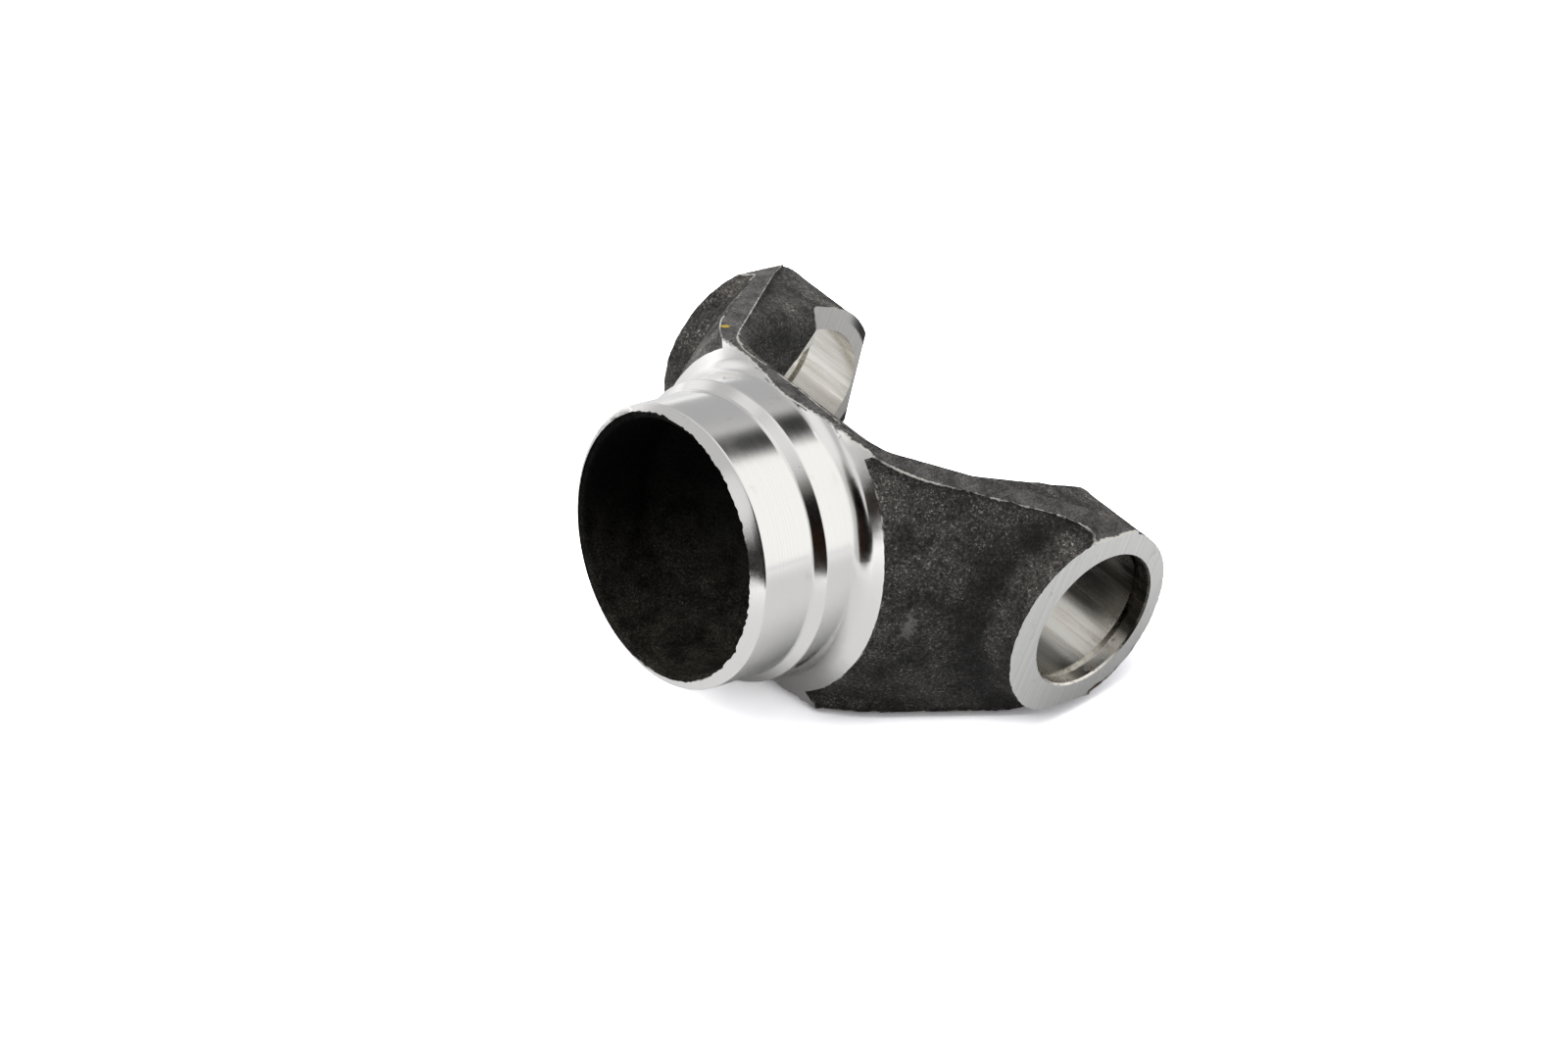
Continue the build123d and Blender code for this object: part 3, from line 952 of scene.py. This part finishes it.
def make_pocket_scale():
    """Black, rough scale left in the forged pocket of the tube end, with bare burrs at its rim and
    painted shade on its upper wall.
    """
    material, tree, shader = new_finish("pocket_scale")
    position = use_group(tree, yoke_position)
    spot = position.outputs["Place"]
    grain = use_group(tree, forge_grain, {"Place": spot, "Grain size": 0.6})
    # Painted light and shade: the lower pocket wall is lit and shows its flecks, the upper wall is
    # painted near black as shade
    lit_lower_wall = between(tree, position.outputs["Across"], *LIT_LOWER_POCKET_WALL, 0.12, 1.0)
    black = blend(tree, grain.outputs["Tone"], POCKET_BLACK, POCKET_GREY)
    lit_flecks = reckon(tree, "MULTIPLY", grain.outputs["Flecks"], lit_lower_wall)
    flecked = blend(tree, lit_flecks, black, POCKET_FLECK)
    shaded_pocket = blend(tree, lit_lower_wall, POCKET_SHADE, flecked)
    burr = bare_line(tree, spot, "cut_distance", width=0.55, cover=0.42)
    inputs = {
        "Base Color": blend(tree, burr, shaded_pocket, BURR_STEEL),
        "Roughness": between(tree, grain.outputs["Tone"], 0.0, 1.0, 0.85, 0.6),
        "Specular IOR Level": 0.08,
        "Metallic": reckon(tree, "MULTIPLY", burr, 0.9),
        "Normal": bump(tree, grain.outputs["Height"], 0.2),
    }
    feed_all(tree, shader, inputs)
    return material


finish_materials = [
    make_forged_scale(),
    make_trimmed_flash(),
    make_turned_steel(),
    make_milled_ear(),
    make_bored_wall(),
    make_pocket_scale(),
]


def make_scale_tree():
    """Geometry nodes that sink lumps, grain and chips into the forged skin and set its finishes."""
    tree = bpy.data.node_groups.new("forged_skin_relief", "GeometryNodeTree")
    tree.interface.new_socket("Skin", in_out="INPUT", socket_type="NodeSocketGeometry")
    for name in RELIEF_SIZES:
        tree.interface.new_socket(name, in_out="INPUT", socket_type="NodeSocketFloat")
    for name in FINISHES:
        tree.interface.new_socket(name, in_out="INPUT", socket_type="NodeSocketMaterial")
    tree.interface.new_socket("Skin", in_out="OUTPUT", socket_type="NodeSocketGeometry")
    start = tree.nodes.new("NodeGroupInput")
    ends = tree.nodes.new("NodeGroupOutput")

    spot = place(tree, "GeometryNodeInputPosition").outputs["Position"]
    facing = place(tree, "GeometryNodeInputNormal").outputs["Normal"]

    def carried(name, kind="FLOAT"):
        node = place(tree, "GeometryNodeInputNamedAttribute", {"Name": name}, data_type=kind)
        return node.outputs["Attribute"]

    def sunk(size, depth, detail):
        scale = reckon(tree, "DIVIDE", 1.0, start.outputs[size])
        lumps = noise(tree, spot, scale, detail, roughness=0.55)
        return reckon(tree, "MULTIPLY", lumps, start.outputs[depth])

    skin_share = carried("skin_share")
    skin_depth = reckon(
        tree, "ADD", sunk("Lump size", "Lump depth", 2.0), sunk("Grain size", "Grain depth", 2.0)
    )
    near_edge = place(
        tree,
        "ShaderNodeMapRange",
        {
            "Value": carried("trim_distance"),
            "From Min": start.outputs["Chip width"],
            "From Max": 0.0,
            "To Min": 0.0,
            "To Max": 1.0,
        },
    ).outputs["Result"]
    chip_depth = reckon(tree, "MULTIPLY", sunk("Chip size", "Chip depth", 3.0), near_edge)
    depth = reckon(tree, "MULTIPLY", reckon(tree, "ADD", skin_depth, chip_depth), skin_share)
    sinking = reckon(tree, "MULTIPLY", depth, -1.0)
    inward = reckon_vector(tree, "SCALE", {0: facing, "Scale": sinking})
    moved = place(
        tree, "GeometryNodeSetPosition", {"Geometry": start.outputs["Skin"], "Offset": inward}
    )
    flow = place(
        tree, "GeometryNodeRealizeInstances", {"Geometry": moved.outputs["Geometry"]}
    ).outputs["Geometry"]
    finish = carried("finish", "INT")
    for index, name in enumerate(FINISHES):
        matches = place(
            tree, "FunctionNodeCompare", {2: finish, 3: index}, data_type="INT", operation="EQUAL"
        )
        flow = place(
            tree,
            "GeometryNodeSetMaterial",
            {
                "Geometry": flow,
                "Selection": matches.outputs["Result"],
                "Material": start.outputs[name],
            },
        ).outputs["Geometry"]
    tree.links.new(flow, ends.inputs["Skin"])
    return tree


def forge_yoke():
    """The yoke as one finished piece, in place of its plain solid."""
    yoke = bpy.data.objects.new("forged_weld_yoke", cut_yoke_skin(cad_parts["weld_yoke"]))
    bpy.context.scene.collection.objects.link(yoke)
    for material in finish_materials:
        yoke.data.materials.append(material)
    relief = yoke.modifiers.new("forged_skin_relief", "NODES")
    tree = make_scale_tree()
    relief.node_group = tree
    settings = {**RELIEF_SIZES, **dict(zip(FINISHES, finish_materials))}
    for socket in tree.interface.items_tree:
        if socket.in_out == "INPUT" and socket.name in settings:
            relief[socket.identifier] = settings[socket.name]
    depsgraph = bpy.context.evaluated_depsgraph_get()
    finished = bpy.data.meshes.new_from_object(
        yoke.evaluated_get(depsgraph), preserve_all_data_layers=True, depsgraph=depsgraph
    )
    yoke.modifiers.remove(relief)
    yoke.data = finished
    return yoke


yoke = forge_yoke()
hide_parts("weld_yoke")
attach(yoke, "root")


def lay_floor():
    """Floor that is white to the camera and pale to polished steel, and keeps the shadow."""
    mesh = bpy.data.meshes.new("floor")
    half = FLOOR_HALF
    corners = [(-half, -half, 0.0), (half, -half, 0.0), (half, half, 0.0), (-half, half, 0.0)]
    mesh.from_pydata(corners, [], [(0, 1, 2, 3)])
    floor = bpy.data.objects.new("floor", mesh)
    bpy.context.scene.collection.objects.link(floor)
    material = bpy.data.materials.new("white_floor")
    material.use_nodes = True
    tree = material.node_tree
    tree.nodes.clear()
    rays = place(tree, "ShaderNodeLightPath")
    mirrored = reckon(
        tree, "MAXIMUM", rays.outputs["Is Glossy Ray"], rays.outputs["Is Transmission Ray"]
    )
    dimmed = blend(tree, mirrored, FLOOR_TO_SKIN, FLOOR_MIRRORED)
    seen = blend(tree, rays.outputs["Is Camera Ray"], dimmed, FLOOR_SEEN)
    paper = place(tree, "ShaderNodeBsdfDiffuse", {"Color": seen})
    spot = place(tree, "ShaderNodeTexCoord").outputs["Object"]
    away = reckon_vector(tree, "LENGTH", {0: spot}, "Value")
    # Painted glow: the floor shines only in reflections, dimmer near the yoke and brighter far from
    # it
    reflected_glow = reckon(tree, "MULTIPLY", mirrored, between(tree, away, *FLOOR_GLOW_SPAN, 0.02, 0.45))
    glow = place(tree, "ShaderNodeEmission", {"Color": WHITE, "Strength": reflected_glow})
    both = place(
        tree, "ShaderNodeAddShader", {0: paper.outputs["BSDF"], 1: glow.outputs["Emission"]}
    )
    place(tree, "ShaderNodeOutputMaterial", {"Surface": both.outputs["Shader"]})
    mesh.materials.append(material)


def direction(azimuth, elevation):
    """A unit direction from an azimuth, 0 towards the tube mouth, and an elevation in degrees."""
    turn = math.radians(azimuth)
    rise = math.radians(elevation)
    return Vector(
        (math.sin(turn) * math.cos(rise), -math.cos(turn) * math.cos(rise), math.sin(rise))
    )


def hang_softbox(name, spot, sides, power):
    """A soft lamp that faces the yoke."""
    lamp = bpy.data.lights.new(name, "AREA")
    lamp.shape = "RECTANGLE"
    lamp.size, lamp.size_y = sides
    lamp.energy = power
    softbox = bpy.data.objects.new(name, lamp)
    bpy.context.scene.collection.objects.link(softbox)
    softbox.location = spot
    softbox.rotation_euler = (LAMP_TARGET - spot).to_track_quat("-Z", "Y").to_euler()
    softbox.visible_glossy = False


def light_studio():
    """Surroundings with bright and dark patches for the steel to mirror, and two soft lamps."""
    world = bpy.data.worlds.new("studio")
    bpy.context.scene.world = world
    world.use_nodes = True
    tree = world.node_tree
    tree.nodes.clear()
    outward = place(tree, "ShaderNodeTexCoord").outputs["Generated"]
    mirrored = SURROUNDINGS
    for azimuth, elevation, core, rim, shade in MIRRORED_PATCHES:
        towards = {0: outward, 1: direction(azimuth, elevation)}
        facing = reckon_vector(tree, "DOT_PRODUCT", towards, "Value")
        share = between(tree, facing, math.cos(math.radians(rim)), math.cos(math.radians(core)))
        mirrored = blend(tree, share, mirrored, shade)
    height = place(tree, "ShaderNodeSeparateXYZ", {"Vector": outward}).outputs["Z"]
    ambient = blend(tree, between(tree, height, 0.0, 1.0), AMBIENT_LOW, AMBIENT_HIGH)
    rays = place(tree, "ShaderNodeLightPath")
    lit = blend(tree, rays.outputs["Is Diffuse Ray"], mirrored, ambient)
    seen = blend(tree, rays.outputs["Is Camera Ray"], lit, WHITE)
    background = place(tree, "ShaderNodeBackground", {"Color": seen, "Strength": 1.0})
    place(tree, "ShaderNodeOutputWorld", {"Surface": background.outputs["Background"]})

    for name, azimuth, elevation, distance, sides, power in SOFTBOXES:
        hang_softbox(name, direction(azimuth, elevation) * distance, sides, power)


def set_camera():
    """The camera at the photograph's viewing angle."""
    lens = bpy.data.cameras.new("view")
    lens.sensor_fit = "HORIZONTAL"
    lens.sensor_width = SENSOR_WIDTH
    lens.lens = FOCAL_LENGTH
    lens.clip_start = NEAREST_SEEN
    camera = bpy.data.objects.new("view", lens)
    bpy.context.scene.collection.objects.link(camera)
    forward = CAMERA_FORWARD.normalized()
    right = (CAMERA_RIGHT - forward * CAMERA_RIGHT.dot(forward)).normalized()
    upward = right.cross(forward)
    turn = Matrix((right, upward, -forward)).transposed().to_4x4()
    camera.matrix_world = Matrix.Translation(CAMERA_SPOT) @ turn
    bpy.context.scene.camera = camera


lay_floor()
light_studio()
set_camera()
bpy.context.scene.view_settings.view_transform = "Standard"
